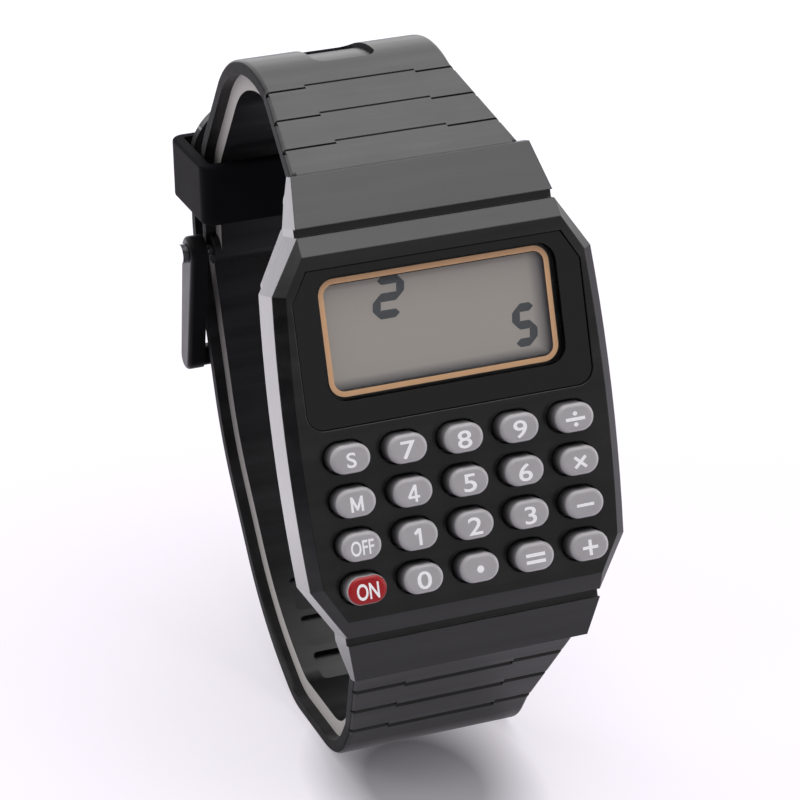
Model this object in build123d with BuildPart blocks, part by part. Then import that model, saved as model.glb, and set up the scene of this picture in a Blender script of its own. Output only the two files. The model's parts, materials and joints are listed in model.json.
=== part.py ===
from build123d import *
import os
from math import atan2, cos, radians, sin, tan

# Calculator watch, buckled, standing on the flat foot of its strap and leaning back.
# Millimetres, +Z up, X to 3 o'clock, the dial towards -Y. The origin is the middle of the foot.
# Shapes are drawn in the dial's own directions: X, towards 12 o'clock, and out of the dial.

os.makedirs("parts", exist_ok=True)

# Clearances and overruns shared by several pieces
running_fit = 0.05
seat_gap = 0.05
part_gap = 0.3
cut_overrun = 1.0
tolerance = 0.01

# Front panel and the bevel round it
panel_end_width = 25.74
panel_straight = 27.44
side_bow = 0.5
bevel_depth = 0.97
bevel_end_run = 1.72
bevel_side_run = 1.04
case_end_width = 25.6
case_straight = 27.74
panel_shift = -0.37
plate_thickness = 1.5

# Case body below the bevel, and the walls round its cavity
skirt_depth = 4.9
skirt_side_step = 0.99
skirt_end_step = 0.07
body_depth = 7.1
body_end_width = 24.4
body_straight = 28.2
side_wall = 0.8
cavity_end_width = 25.2
cavity_straight = 28.8
cavity_end_gap = 0.5
cavity_side_gap = 0.525

# Lug covers with the pockets and pin lobes under them
lug_reach = 23.87
lug_root_width = 25.6
lug_tip_width = 23.8
lug_overlap = 1.5
slope_start = 19.6
slope_start_depth = 1.13
slope_end_depth = 3.27
step_groove_depth = 1.7
cover_thickness = 1.2
cheek_end = 21.3
pocket_width = 22.4
pocket_start_depth = 2.3
lobe_radius = 1.2
lobe_thickness = 0.8

# Spring bars
bar_reach = 21.0
bar_depth = 5.0
bar_radius = 0.7
bar_tip_radius = 0.45
bar_end_gap = 0.1

# Case back, its screws and the gasket
back_thickness = 0.9
back_margin = 0.2
back_chamfer = 0.35
spigot_height = 0.2
screw_side_distance = 18.4
screw_hole_land = 0.15
screw_head_land = 0.1
screw_radius = 0.45
screw_head_radius = 0.8
screw_head_height = 0.45
screw_length = 3.0
screw_slot_width = 0.3
screw_slot_depth = 0.2
gasket_width = 0.35
gasket_thickness = 0.3

# Display window, liquid crystal panel and the holder that carries it
lens_bottom = 0.7
lens_top = 15.35
lens_width = 28.5
lens_top_width = 25.2
lens_shoulder = 12.6
lens_round = 1.6
lens_thickness = 0.8
lens_sink = 0.15
lens_gap = 0.1
window_width = 22.4
window_height = 9.8
display_middle = 8.8
lcd_width = 23.4
lcd_height = 11.7
lcd_thickness = 1.0
reflector_thickness = 0.15
reflector_height = 8.4
holder_wall = 0.8
holder_length = 14.2
holder_corner = 1.6
zebra_width = 1.2
zebra_length = 20.6
zebra_distance = 10.3
holder_hole_width = 18.0
holder_hole_height = 7.0

# Keypad: stadium keys on a grid, each with a flange under the panel and a carbon pill
key_columns = 5
key_rows = 4
key_column_pitch = 5.6
key_row_pitch = 4.11
keypad_middle = -8.2
key_length = 3.93
key_width = 2.72
key_rise = 1.87
key_gap = 0.21
key_round = 0.4
key_flange = 0.2
key_flange_thickness = 0.4
key_travel = 0.45
pill_length = 2.9
pill_width = 1.7
pill_gap = 0.15
pill_stop_gap = 0.05
mat_thickness = 0.8
mat_width = 26.4
mat_edge = -0.25

# Circuit board, what is on it and what holds it
board_depth = 4.0
board_thickness = 0.8
board_gap = 0.35
post_distance = 21.2
post_height = 0.75
post_radius = 0.85
board_screw_radius = 0.4
board_screw_head_radius = 0.8
board_screw_head_height = 0.35
board_screw_length = 2.0
chip_radius = 2.7
chip_height = 0.9
chip_side_shift = -4.2
chip_height_on_dial = 11.6
crystal_radius = 0.8
crystal_length = 6.0
crystal_side_shift = 5.4
crystal_lead_width = 0.3
crystal_lead_length = 1.0
crystal_lead_pitch = 0.7

# Coin cell and its contacts
cell_radius = 10.0
cell_thickness = 1.6
cell_cap_radius = 8.4
cell_cap_height = 0.3
cell_shift = -2.6
contact_radius = 3.0
contact_thickness = 0.15
clip_width = 4.4
clip_thickness = 0.2
clip_side_gap = 0.15
clip_foot = 1.3

# The cavity is as long and wide as what it holds, and the case grows outwards from it
flange_step = 2 * (key_gap + key_flange)
keypad_width = (key_columns - 1) * key_column_pitch + key_length + flange_step
cavity_length = 2 * (display_middle + holder_length / 2 + cavity_end_gap)
cavity_width = keypad_width + 2 * cavity_side_gap
screw_end_distance = cavity_length + 2 * (
    gasket_width + screw_hole_land + screw_radius + 2 * running_fit
)
screw_rim = screw_head_radius + screw_head_land + back_chamfer + back_margin
body_length = screw_end_distance + 2 * screw_rim
body_width = cavity_width + 2 * side_wall
case_length = body_length - 2 * skirt_end_step
case_width = body_width + 2 * skirt_side_step
panel_length = case_length - 2 * bevel_end_run
panel_width = case_width - 2 * bevel_side_run

# Strap section: a face layer with a narrower layer inside it
strap_thickness = 3.1
face_layer = 1.36
ledge = 1.1
strap_width = 19.0
strap_edge_round = 0.45

# Strap roots: a barrel on the spring bar, a neck, and a ramp that narrows to the strap's width
barrel_radius = 1.35
neck_width = 21.6
neck_overlap = 0.4
root_width = 22.9
ramp_drop = 4.7
ramp_length = 12.9

# Grooves across the ramps, like the joints of a bracelet
groove_first = 3.6
groove_pitch = 4.3
groove_count = 3
groove_depth = 0.5
groove_wall = 0.2
groove_slope = 0.6
groove_centre_width = 11.2
groove_centre_shift = 0.35
groove_centre_slope = 1.3
groove_centre_depth = 0.28

# The loop's corners, as shares of its reach to 12 o'clock and of its depth, and their bends
loop_reach = 34.1
loop_depth = 47.6
crown_shares = [(1.0, 0.397), (1.0, 0.576), (0.721, 0.840)]
back_shares = [(-0.029, 1.0), (-0.710, 0.832)]
foot_shares = [(-0.935, 0.674), (-1.047, 0.410)]
crown_bends = [12.0, 12.0, 10.0]
back_bends = [32.0, 30.0]
foot_bends = [8.0, 7.5]

# Strap ends: the tail over the buckle pin, its holes, and recesses in both halves
pin_distance = 10.2
tail_length = 14.2
tail_lift = 0.4
tail_shift = 0.3
tail_bend = 12.0
tail_round = 6.0
tail_joint = 5.26
hole_length = 2.1
hole_width = 2.6
hole_pitch = 6.4
holes_to_tip = 1
holes_to_foot = 5
recess_width = 6.4
recess_depth = 0.5
recess_high = 17.9
recess_low = 26.3
recess_round = 1.2
rib_pocket_width = 13.4
rib_pocket_length = 3.6
rib_pocket_depth = 0.5
rib_pocket_pitch = 4.8
rib_pocket_count = 3
rib_pocket_start = 3.5

# Buckle: pin, frame, tongue and keeper
pin_radius = 0.6
pin_head_radius = 1.0
pin_head_height = 0.6
arm_thickness = 1.8
arm_gap = 0.45
arm_pin_radius = 1.7
arm_end_radius = 1.35
arm_end_distance = 12.6
arm_end_rise = 0.9
cross_bar_length = 2.2
cross_bar_rise = 0.55
cross_bar_thickness = 1.6
cross_bar_round = 0.6
arm_round = 0.45
tongue_width = 1.8
tongue_thickness = 1.0
tongue_knuckle_radius = 1.4
tongue_drop = 1.9
tongue_neck = 3.2
tongue_reach = 14.05
tongue_bend = 0.8
tongue_side_gap = 0.35
keeper_start = 4.2
keeper_length = 6.3
keeper_wall = 1.15
keeper_gap = 0.35
keeper_slack = 1.4
keeper_round = 1.4
keeper_window_round = 0.4
keeper_edge = 0.35


def inward(start, end):
    """The direction into the loop from a run between two points of the side view."""
    along = (end - start).normalized()
    return Vector(along.Y, -along.X)


def bend_run(before, corner, after, radius):
    """How far a bend of that radius reaches along the runs beside its corner."""
    return radius * tan(radians((corner - before).get_angle(after - corner) / 2))


def parallel(route, bends, depth):
    """The corners and bend radii of a route that runs that depth further inside the loop."""
    normals = [inward(start, end) for start, end in zip(route, route[1:])]
    corners = [route[0] + normals[0] * depth]
    radii = []
    for corner, before, after, radius in zip(route[1:], normals, normals[1:], bends):
        corners.append(corner + (before + after) * (depth / (1 + before.dot(after))))
        convex = before.X * after.Y < before.Y * after.X
        radii.append(radius - depth if convex else radius + depth)
    corners.append(route[-1] + normals[-1] * depth)
    return corners, radii


def layer(route, bends, top, bottom):
    """In a sketch of the side view: the section between two depths under a route."""
    outer, outer_bends = parallel(route, bends, top)
    inner, inner_bends = parallel(route, bends, bottom)
    radii = [0, *outer_bends, 0, 0, *reversed(inner_bends), 0]
    with BuildLine() as outline:
        FilletPolyline(*outer, *reversed(inner), radius=radii, close=True)
    make_face(outline.edges())


def octagon(length, end_width, width, straight, bow=0.0, mode=Mode.ADD):
    """In a sketch of the dial: flat ends, four corner cuts, and long sides that may bow out."""
    end = Vector(end_width / 2, length / 2)
    corner = Vector(width / 2, straight / 2)
    with BuildLine() as outline:
        Polyline(
            (-corner.X, corner.Y), (-end.X, end.Y), (end.X, end.Y), (corner.X, corner.Y)
        )
        Polyline(
            (corner.X, -corner.Y), (end.X, -end.Y), (-end.X, -end.Y), (-corner.X, -corner.Y)
        )
        for hand in (1, -1):
            if bow:
                ThreePointArc(
                    (hand * corner.X, corner.Y),
                    (hand * (corner.X + bow), 0),
                    (hand * corner.X, -corner.Y),
                )
            else:
                Line((hand * corner.X, corner.Y), (hand * corner.X, -corner.Y))
    make_face(outline.edges(), mode=mode)


# The route of the strap's outer face in the side view (towards 12 o'clock, out of the dial)
root_up = Vector(lug_reach, -ramp_drop)
root_down = Vector(-lug_reach, -ramp_drop)
crown = [Vector(reach * loop_reach, -depth * loop_depth) for reach, depth in crown_shares]
back = [Vector(reach * loop_reach, -depth * loop_depth) for reach, depth in back_shares]
foot = [Vector(reach * loop_reach, -depth * loop_depth) for reach, depth in foot_shares]
up_ramp = (crown[0] - root_up).normalized()
down_ramp = (foot[1] - root_down).normalized()
ramp_up_end = root_up + up_ramp * ramp_length
ramp_down_end = root_down + down_ramp * ramp_length

# The foot is the flat run between the loop's last two bends, and the watch stands on it
foot_run = (foot[1] - foot[0]).normalized()
foot_start = foot[0] + foot_run * bend_run(back[1], foot[0], foot[1], foot_bends[0])
foot_end = foot[1] - foot_run * bend_run(foot[0], foot[1], ramp_down_end, foot_bends[1])
foot_middle = (foot_start + foot_end) / 2
lean = atan2(-foot_run.X, foot_run.Y)
to_12 = Vector(0, sin(lean), cos(lean))
out_of_dial = Vector(0, -cos(lean), sin(lean))
dial_origin = -(to_12 * foot_middle.X + out_of_dial * foot_middle.Y)


def direction(vector):
    """A direction of the side view as a direction in space."""
    return to_12 * vector.X + out_of_dial * vector.Y


def place(point):
    """A point of the side view as a place in space, on the middle plane."""
    return dial_origin + direction(point)


face = Plane(origin=dial_origin, x_dir=(1, 0, 0), z_dir=out_of_dial)
side = Plane(origin=dial_origin, x_dir=to_12, z_dir=(1, 0, 0))
across = Plane(origin=dial_origin, x_dir=(1, 0, 0), z_dir=to_12)
depth_axis = Axis(dial_origin, out_of_dial)

# The buckle's own directions: down the strap from the pin, and off the strap's outer face
down_strap = (back[0] - crown[2]).normalized()
off_strap = -inward(crown[2], back[0])
pin_top = crown[2] + down_strap * pin_distance
pin_depth = strap_thickness / 2
pin_centre = pin_top - off_strap * pin_depth
buckle_side = Plane(origin=place(pin_top), x_dir=direction(down_strap), z_dir=(1, 0, 0))
buckle_top = Plane(origin=place(pin_top), x_dir=(1, 0, 0), z_dir=direction(off_strap))


def at_buckle(down, off):
    """A point of the side view by its place below the pin and off the strap."""
    return pin_top + down_strap * down + off_strap * off


# Covers over the strap's roots, one at each end, with pin lobes inside their cheeks
lugs = []
for hand in (1, -1):
    lug_side = Plane(origin=dial_origin, x_dir=to_12 * hand, z_dir=(hand, 0, 0))
    lug_face = Plane(origin=dial_origin, x_dir=(hand, 0, 0), z_dir=out_of_dial)
    step = slope_start + hand * panel_shift
    with BuildPart() as lug:
        with BuildSketch(lug_side):
            Polygon(
                (step - lug_overlap, -step_groove_depth),
                (step, -step_groove_depth),
                (step, -slope_start_depth),
                (lug_reach, -slope_end_depth),
                (lug_reach, -slope_end_depth - cover_thickness),
                (cheek_end, -skirt_depth),
                (step - lug_overlap, -skirt_depth),
                align=None,
            )
        extrude(amount=lug_root_width / 2, both=True)
        with BuildSketch(lug_face):
            Polygon(
                (-lug_root_width / 2, step - lug_overlap),
                (-lug_root_width / 2, step),
                (-lug_tip_width / 2, lug_reach),
                (lug_tip_width / 2, lug_reach),
                (lug_root_width / 2, step),
                (lug_root_width / 2, step - lug_overlap),
                align=None,
            )
        extrude(amount=-body_depth, mode=Mode.INTERSECT)
        with BuildSketch(lug_side):
            Polygon(
                (body_length / 2, -pocket_start_depth),
                (lug_reach, -slope_end_depth - cover_thickness),
                (lug_reach + cut_overrun, -slope_end_depth - cover_thickness),
                (lug_reach + cut_overrun, -skirt_depth - cut_overrun),
                (body_length / 2, -skirt_depth - cut_overrun),
                align=None,
            )
        extrude(amount=pocket_width / 2, both=True, mode=Mode.SUBTRACT)
        for cheek in (1, -1):
            with BuildSketch(lug_side.offset(cheek * pocket_width / 2)):
                with Locations((bar_reach, -bar_depth)):
                    Circle(lobe_radius)
            extrude(amount=cheek * lobe_thickness)
            with BuildSketch(lug_side.offset(cheek * pocket_width / 2)):
                with Locations((bar_reach, -bar_depth)):
                    Circle(bar_tip_radius + running_fit)
            extrude(amount=cheek * lobe_thickness, mode=Mode.SUBTRACT)
    lugs.append(lug.part)

# Case front: bevelled octagon with a cavity, a window, key holes and posts for the board
gasket_step = 2 * gasket_width
panel_plane = Plane(
    origin=place(Vector(panel_shift, 0)), x_dir=(1, 0, 0), z_dir=out_of_dial
)
with BuildPart() as case_front:
    with BuildSketch(panel_plane):
        octagon(panel_length, panel_end_width, panel_width, panel_straight, side_bow)
    with BuildSketch(panel_plane.offset(-bevel_depth)):
        octagon(case_length, case_end_width, case_width, case_straight, side_bow)
    loft(ruled=True)
    with BuildSketch(panel_plane.offset(-bevel_depth)):
        octagon(case_length, case_end_width, case_width, case_straight, side_bow)
    extrude(amount=-(skirt_depth - bevel_depth))
    with BuildSketch(face.offset(-skirt_depth)):
        octagon(body_length, body_end_width, body_width, body_straight)
    extrude(amount=-(body_depth - skirt_depth))
    add(lugs)
    with BuildSketch(face.offset(-body_depth)):
        octagon(cavity_length, cavity_end_width, cavity_width, cavity_straight)
    extrude(amount=body_depth - plate_thickness, mode=Mode.SUBTRACT)
    with BuildSketch(face.offset(-body_depth)):
        octagon(
            cavity_length + gasket_step + 2 * running_fit,
            cavity_end_width + gasket_step + 2 * running_fit,
            cavity_width + gasket_step + 2 * running_fit,
            cavity_straight,
        )
    extrude(amount=gasket_thickness, mode=Mode.SUBTRACT)
    with BuildSketch(face.offset(-plate_thickness)):
        with Locations((0, post_height)):
            with GridLocations(post_distance, 0, 2, 1):
                Circle(post_radius)
    extrude(amount=-(board_depth - plate_thickness))
    with BuildSketch(face.offset(-board_depth)):
        with Locations((0, post_height)):
            with GridLocations(post_distance, 0, 2, 1):
                Circle(board_screw_radius + running_fit)
    extrude(amount=board_screw_length - board_thickness, mode=Mode.SUBTRACT)
    with BuildSketch(face.offset(-lens_sink - lens_thickness)):
        Polygon(
            (-lens_width / 2 - lens_gap, lens_bottom - lens_gap),
            (-lens_width / 2 - lens_gap, lens_shoulder),
            (-lens_top_width / 2 - lens_gap, lens_top + lens_gap),
            (lens_top_width / 2 + lens_gap, lens_top + lens_gap),
            (lens_width / 2 + lens_gap, lens_shoulder),
            (lens_width / 2 + lens_gap, lens_bottom - lens_gap),
            align=None,
        )
        fillet(vertices().group_by(Axis.Y)[0], lens_round + lens_gap)
    extrude(amount=lens_thickness + lens_sink + cut_overrun, mode=Mode.SUBTRACT)
    with BuildSketch(face):
        with Locations((0, display_middle)):
            Rectangle(window_width, window_height)
        with Locations((0, keypad_middle)):
            with GridLocations(key_column_pitch, key_row_pitch, key_columns, key_rows):
                SlotOverall(key_length + 2 * key_gap, key_width + 2 * key_gap)
    extrude(amount=-plate_thickness, mode=Mode.SUBTRACT)
    with BuildSketch(face.offset(-body_depth)):
        with GridLocations(screw_side_distance, screw_end_distance, 2, 2):
            Circle(screw_radius + running_fit)
    extrude(amount=screw_length, mode=Mode.SUBTRACT)
case_front.part.label = "case_front"
export_step(case_front.part, "parts/case_front.step")

# Display window, black glass sunk a little below the panel
with BuildPart() as display_lens:
    with BuildSketch(face.offset(-lens_sink - lens_thickness)):
        Polygon(
            (-lens_width / 2, lens_bottom),
            (-lens_width / 2, lens_shoulder),
            (-lens_top_width / 2, lens_top),
            (lens_top_width / 2, lens_top),
            (lens_width / 2, lens_shoulder),
            (lens_width / 2, lens_bottom),
            align=None,
        )
        fillet(vertices().group_by(Axis.Y)[0], lens_round)
    extrude(amount=lens_thickness)
display_lens.part.label = "display_lens"
export_step(display_lens.part, "parts/display_lens.step")

# Liquid crystal panel, its reflector and the two contact strips between it and the board
lcd_depth = plate_thickness + seat_gap
lcd_bottom = lcd_depth + lcd_thickness
with BuildPart() as lcd_panel:
    with BuildSketch(face.offset(-lcd_bottom)):
        with Locations((0, display_middle)):
            Rectangle(lcd_width, lcd_height)
    extrude(amount=lcd_thickness)
lcd_panel.part.label = "lcd_panel"
export_step(lcd_panel.part, "parts/lcd_panel.step")

with BuildPart() as lcd_reflector:
    with BuildSketch(face.offset(-lcd_bottom)):
        with Locations((0, display_middle)):
            Rectangle(zebra_length, reflector_height)
    extrude(amount=-reflector_thickness)
lcd_reflector.part.label = "lcd_reflector"
export_step(lcd_reflector.part, "parts/lcd_reflector.step")

with BuildPart() as zebra_strips:
    with BuildSketch(face.offset(-board_depth)):
        with Locations((0, display_middle)):
            with GridLocations(0, zebra_distance, 1, 2):
                Rectangle(zebra_length, zebra_width)
    extrude(amount=board_depth - lcd_bottom)
zebra_strips.part.label = "zebra_strips"
export_step(zebra_strips.part, "parts/zebra_strips.step")

# Holder: a tray that carries the panel over the board, with slots for the strips
with BuildPart() as module_frame:
    with BuildSketch(face.offset(-board_depth)):
        with Locations((0, display_middle)):
            Rectangle(lcd_width + 2 * holder_wall, holder_length)
        chamfer(vertices(), holder_corner)
    extrude(amount=board_depth - lcd_depth)
    with BuildSketch(face.offset(-lcd_bottom - reflector_thickness)):
        with Locations((0, display_middle)):
            Rectangle(lcd_width + 2 * seat_gap, lcd_height + 2 * seat_gap)
    extrude(amount=lcd_thickness + reflector_thickness, mode=Mode.SUBTRACT)
    with BuildSketch(face.offset(-board_depth)):
        with Locations((0, display_middle)):
            Rectangle(holder_hole_width, holder_hole_height)
            with GridLocations(0, zebra_distance, 1, 2):
                Rectangle(zebra_length + 2 * seat_gap, zebra_width + 2 * seat_gap)
    extrude(amount=board_depth - lcd_bottom, mode=Mode.SUBTRACT)
module_frame.part.label = "module_frame"
export_step(module_frame.part, "parts/module_frame.step")

# Keys, by rows from the display down: a rounded cap, a flange under the panel and a pill below
key_names = [
    ["key_s", "key_7", "key_8", "key_9", "key_divide"],
    ["key_m", "key_4", "key_5", "key_6", "key_multiply"],
    ["key_off", "key_1", "key_2", "key_3", "key_minus"],
    ["key_on", "key_0", "key_point", "key_equals", "key_plus"],
]
flange_top = plate_thickness + seat_gap
flange_bottom = flange_top + key_flange_thickness
pill_bottom = board_depth - key_travel - pill_stop_gap
for row, names in enumerate(key_names):
    for column, name in enumerate(names):
        key_x = (column - (key_columns - 1) / 2) * key_column_pitch
        key_y = keypad_middle - (row - (key_rows - 1) / 2) * key_row_pitch
        key_face = Plane(
            origin=place(Vector(key_y, 0)) + Vector(key_x, 0),
            x_dir=(1, 0, 0),
            z_dir=out_of_dial,
        )
        with BuildPart() as key:
            with BuildSketch(key_face.offset(-flange_top)):
                SlotOverall(key_length, key_width)
            extrude(amount=flange_top + key_rise)
            fillet(key.faces().sort_by(depth_axis)[-1].edges(), key_round)
            with BuildSketch(key_face.offset(-flange_top)):
                SlotOverall(key_length + flange_step, key_width + flange_step)
            extrude(amount=-key_flange_thickness)
            with BuildSketch(key_face.offset(-flange_bottom)):
                SlotOverall(pill_length, pill_width)
            extrude(amount=-(pill_bottom - flange_bottom))
        key.part.label = name
        export_step(key.part, f"parts/{name}.step")

# Rubber mat round the pills, lying on the board
with BuildPart() as keypad_mat:
    with BuildSketch(face.offset(-board_depth)):
        octagon(
            cavity_length - 2 * board_gap,
            cavity_end_width - 2 * board_gap,
            cavity_width - 2 * board_gap,
            cavity_straight,
        )
        with Locations((0, mat_edge)):
            Rectangle(
                mat_width,
                cavity_length / 2,
                align=(Align.CENTER, Align.MAX),
                mode=Mode.INTERSECT,
            )
        with Locations((0, keypad_middle)):
            with GridLocations(key_column_pitch, key_row_pitch, key_columns, key_rows):
                SlotOverall(
                    pill_length + 2 * pill_gap, pill_width + 2 * pill_gap, mode=Mode.SUBTRACT
                )
    extrude(amount=mat_thickness)
keypad_mat.part.label = "keypad_mat"
export_step(keypad_mat.part, "parts/keypad_mat.step")

# Circuit board, with the sealed chip and the timing crystal on its back
board_bottom = board_depth + board_thickness
with BuildPart() as circuit_board:
    with BuildSketch(face.offset(-board_bottom)):
        octagon(
            cavity_length - 2 * board_gap,
            cavity_end_width - 2 * board_gap,
            cavity_width - 2 * board_gap,
            cavity_straight,
        )
        with Locations((0, post_height)):
            with GridLocations(post_distance, 0, 2, 1):
                Circle(board_screw_radius + running_fit, mode=Mode.SUBTRACT)
    extrude(amount=board_thickness)
circuit_board.part.label = "circuit_board"
export_step(circuit_board.part, "parts/circuit_board.step")

with BuildPart() as chip_blob:
    with BuildSketch(face.offset(-board_bottom)):
        with Locations((chip_side_shift, chip_height_on_dial)):
            Circle(chip_radius)
    extrude(amount=-chip_height)
    fillet(chip_blob.faces().sort_by(depth_axis)[0].edges(), chip_height / 2)
chip_blob.part.label = "chip_blob"
export_step(chip_blob.part, "parts/chip_blob.step")

crystal_end = Plane(
    origin=place(Vector(chip_height_on_dial, -board_bottom - crystal_radius))
    + Vector(crystal_side_shift - crystal_length / 2, 0),
    x_dir=to_12,
    z_dir=(1, 0, 0),
)
with BuildPart() as quartz_crystal:
    with BuildSketch(crystal_end):
        Circle(crystal_radius)
    extrude(amount=crystal_length)
    with BuildSketch(crystal_end.offset(crystal_length)):
        with GridLocations(crystal_lead_pitch, 0, 2, 1):
            Rectangle(crystal_lead_width, crystal_lead_width)
    extrude(amount=crystal_lead_length)
    with BuildSketch(crystal_end.offset(crystal_length + crystal_lead_length)):
        with GridLocations(crystal_lead_pitch, 0, 2, 1):
            Rectangle(crystal_lead_width, crystal_radius, align=(Align.CENTER, Align.MIN))
    extrude(amount=-crystal_lead_width)
quartz_crystal.part.label = "quartz_crystal"
export_step(quartz_crystal.part, "parts/quartz_crystal.step")

# Screws that hold the board to the posts, entered from the back
with BuildPart() as module_screws:
    with BuildSketch(face.offset(-board_bottom)):
        with Locations((0, post_height)):
            with GridLocations(post_distance, 0, 2, 1):
                Circle(board_screw_head_radius)
    extrude(amount=-board_screw_head_height)
    with BuildSketch(face.offset(-board_bottom)):
        with Locations((0, post_height)):
            with GridLocations(post_distance, 0, 2, 1):
                Circle(board_screw_radius)
    extrude(amount=board_screw_length)
module_screws.part.label = "module_screws"
export_step(module_screws.part, "parts/module_screws.step")

# Coin cell with its narrower cap towards the board, the disc under the cap, and the clip
cell_top = board_bottom + contact_thickness
cell_bottom = cell_top + cell_thickness
with BuildPart() as battery_contact:
    with BuildSketch(face.offset(-board_bottom)):
        with Locations((0, cell_shift)):
            Circle(contact_radius)
    extrude(amount=-contact_thickness)
battery_contact.part.label = "battery_contact"
export_step(battery_contact.part, "parts/battery_contact.step")

with BuildPart() as battery:
    with BuildSketch(face.offset(-cell_top)):
        with Locations((0, cell_shift)):
            Circle(cell_cap_radius)
    extrude(amount=-cell_cap_height)
    with BuildSketch(face.offset(-cell_bottom)):
        with Locations((0, cell_shift)):
            Circle(cell_radius)
    extrude(amount=cell_thickness - cell_cap_height)
battery.part.label = "battery"
export_step(battery.part, "parts/battery.step")

clip_inner = cell_radius + clip_side_gap
clip_outer = clip_inner + clip_thickness
with BuildPart() as battery_clip:
    with BuildSketch(Plane(origin=place(Vector(cell_shift, 0)), x_dir=(1, 0, 0), z_dir=-to_12)):
        Polygon(
            (-clip_outer - clip_foot, -board_bottom),
            (-clip_inner, -board_bottom),
            (-clip_inner, -cell_bottom),
            (clip_inner, -cell_bottom),
            (clip_inner, -board_bottom),
            (clip_outer + clip_foot, -board_bottom),
            (clip_outer + clip_foot, -board_bottom - clip_thickness),
            (clip_outer, -board_bottom - clip_thickness),
            (clip_outer, -cell_bottom - clip_thickness),
            (-clip_outer, -cell_bottom - clip_thickness),
            (-clip_outer, -board_bottom - clip_thickness),
            (-clip_outer - clip_foot, -board_bottom - clip_thickness),
            align=None,
        )
    extrude(amount=clip_width / 2, both=True)
battery_clip.part.label = "battery_clip"
export_step(battery_clip.part, "parts/battery_clip.step")

# Gasket in the step round the cavity's edge
with BuildPart() as case_gasket:
    with BuildSketch(face.offset(-body_depth)):
        octagon(
            cavity_length + gasket_step,
            cavity_end_width + gasket_step,
            cavity_width + gasket_step,
            cavity_straight,
        )
        octagon(
            cavity_length,
            cavity_end_width,
            cavity_width,
            cavity_straight,
            mode=Mode.SUBTRACT,
        )
    extrude(amount=gasket_thickness)
case_gasket.part.label = "case_gasket"
export_step(case_gasket.part, "parts/case_gasket.step")

# Case back: a flat plate with a spigot into the cavity and sunk screw heads
with BuildPart() as case_back:
    with BuildSketch(face.offset(-body_depth)):
        octagon(
            body_length - 2 * back_margin,
            body_end_width - 2 * back_margin,
            body_width - 2 * back_margin,
            body_straight - back_margin,
        )
    extrude(amount=-back_thickness)
    chamfer(case_back.faces().sort_by(depth_axis)[0].edges(), back_chamfer)
    with BuildSketch(face.offset(-body_depth)):
        octagon(
            cavity_length - 2 * part_gap,
            cavity_end_width - 2 * part_gap,
            cavity_width - 2 * part_gap,
            cavity_straight,
        )
    extrude(amount=spigot_height)
    with BuildSketch(face.offset(-body_depth)):
        with GridLocations(screw_side_distance, screw_end_distance, 2, 2):
            Circle(screw_radius + running_fit)
    extrude(amount=-back_thickness, mode=Mode.SUBTRACT)
    with BuildSketch(face.offset(-body_depth - back_thickness)):
        with GridLocations(screw_side_distance, screw_end_distance, 2, 2):
            Circle(screw_head_radius + running_fit)
    extrude(amount=screw_head_height, mode=Mode.SUBTRACT)
case_back.part.label = "case_back"
export_step(case_back.part, "parts/case_back.step")

head_seat = body_depth + back_thickness - screw_head_height
with BuildPart() as case_screws:
    with BuildSketch(face.offset(-head_seat)):
        with GridLocations(screw_side_distance, screw_end_distance, 2, 2):
            Circle(screw_head_radius)
    extrude(amount=-(screw_head_height - seat_gap))
    with BuildSketch(face.offset(-head_seat)):
        with GridLocations(screw_side_distance, screw_end_distance, 2, 2):
            Circle(screw_radius)
    extrude(amount=screw_length)
    with BuildSketch(face.offset(-body_depth - back_thickness + seat_gap)):
        with GridLocations(screw_side_distance, screw_end_distance, 2, 2):
            Rectangle(2 * screw_head_radius, screw_slot_width)
    extrude(amount=screw_slot_depth, mode=Mode.SUBTRACT)
case_screws.part.label = "case_screws"
export_step(case_screws.part, "parts/case_screws.step")

# Spring bars under both lug covers
bar_half = pocket_width / 2 - part_gap
bar_tip = part_gap + lobe_thickness - bar_end_gap
with BuildPart() as spring_bar_top:
    with BuildSketch(side):
        with Locations((bar_reach, -bar_depth)):
            Circle(bar_radius)
    extrude(amount=bar_half, both=True)
    with BuildSketch(side):
        with Locations((bar_reach, -bar_depth)):
            Circle(bar_tip_radius)
    extrude(amount=bar_half + bar_tip, both=True)
spring_bar_top.part.label = "spring_bar_top"
export_step(spring_bar_top.part, "parts/spring_bar_top.step")

with BuildPart() as spring_bar_bottom:
    mirror(spring_bar_top.part, about=across)
spring_bar_bottom.part.label = "spring_bar_bottom"
export_step(spring_bar_bottom.part, "parts/spring_bar_bottom.step")


def ramp_plane(root, along, hand):
    """The plane of a ramp's section: along the ramp, and out of its face."""
    return Plane(origin=place(root), x_dir=direction(along), z_dir=(hand, 0, 0))


def ramp_outline(inset):
    """In a sketch on a ramp's face: the narrowing outline, inset at both sides."""
    wide = root_width / 2 - inset
    narrow = strap_width / 2 - inset
    Polygon(
        (0, wide), (ramp_length, narrow), (ramp_length, -narrow), (0, -wide), align=None
    )


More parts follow.
